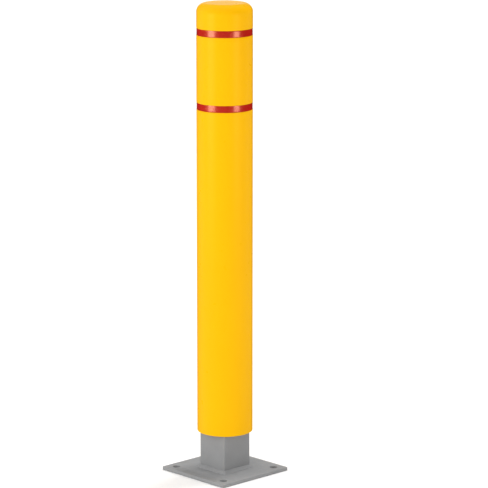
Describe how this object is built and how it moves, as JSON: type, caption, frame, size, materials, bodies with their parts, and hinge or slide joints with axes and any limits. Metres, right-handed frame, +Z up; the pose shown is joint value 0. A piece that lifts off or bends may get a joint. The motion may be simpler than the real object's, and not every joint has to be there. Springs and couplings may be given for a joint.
{
  "type": "safety bollard",
  "caption": "Round capped safety post on a square welded steel foot with a square base plate and anchor holes; it leans on a hidden sprung joint and returns.",
  "frame": {"origin": "centre of the base plate's underside, on the floor", "axes": "+Z up along the post; the base plate's sides lie along X and Y; the cover's screws are on the +Y and -X sides"},
  "size_m": [0.254, 0.254, 1.346],
  "materials": {
    "grey_steel": "flat grey coating",
    "plain_steel": "mill finish",
    "weld_bead": "rippled bead under the grey coating",
    "zinc_steel": "bright zinc plating",
    "spring_steel": "dark oiled",
    "black_elastomer": "matt",
    "black_plastic": "moulded",
    "yellow_plastic": "satin, fine moulded texture",
    "red_tape": "retroreflective sheeting"
  },
  "bodies": {
    "base": {"base_plate": "grey_steel", "stub_tube": "grey_steel", "base_weld": "weld_bead", "seat_plate": "plain_steel", "seat_weld": "weld_bead", "ball_keeper": "plain_steel", "keeper_screws": "zinc_steel"},
    "interleaf": {"lower_pad": "black_elastomer", "interleaf_plate": "plain_steel"},
    "post": {"upper_pad": "black_elastomer", "foot_plate": "plain_steel", "foot_weld": "weld_bead", "tie_rod": "zinc_steel", "spring_guide": "plain_steel", "spring": "spring_steel", "spring_washer": "plain_steel", "adjusting_nut": "zinc_steel", "jam_nut": "zinc_steel", "post_tube": "grey_steel", "post_cap": "plain_steel", "cap_weld": "weld_bead", "lower_spacer": "black_plastic", "middle_spacer": "black_plastic", "upper_spacer": "black_plastic", "top_bumper": "black_elastomer", "cover": "yellow_plastic", "upper_tape": "red_tape", "lower_tape": "red_tape", "cover_screws": "zinc_steel"}
  },
  "joints": [
    {"name": "lean_x", "type": "hinge", "parent": "base", "child": "interleaf", "pos_m": [0, 0, 0.12], "axis": [1, 0, 0], "range_deg": [-12, 12], "stiffness_Nm_per_rad": 3000, "deforming": ["lower_pad"]},
    {"name": "lean_y", "type": "hinge", "parent": "interleaf", "child": "post", "pos_m": [0, 0, 0.12], "axis": [0, 1, 0], "range_deg": [-12, 12], "stiffness_Nm_per_rad": 3000, "deforming": ["upper_pad"]}
  ]
}
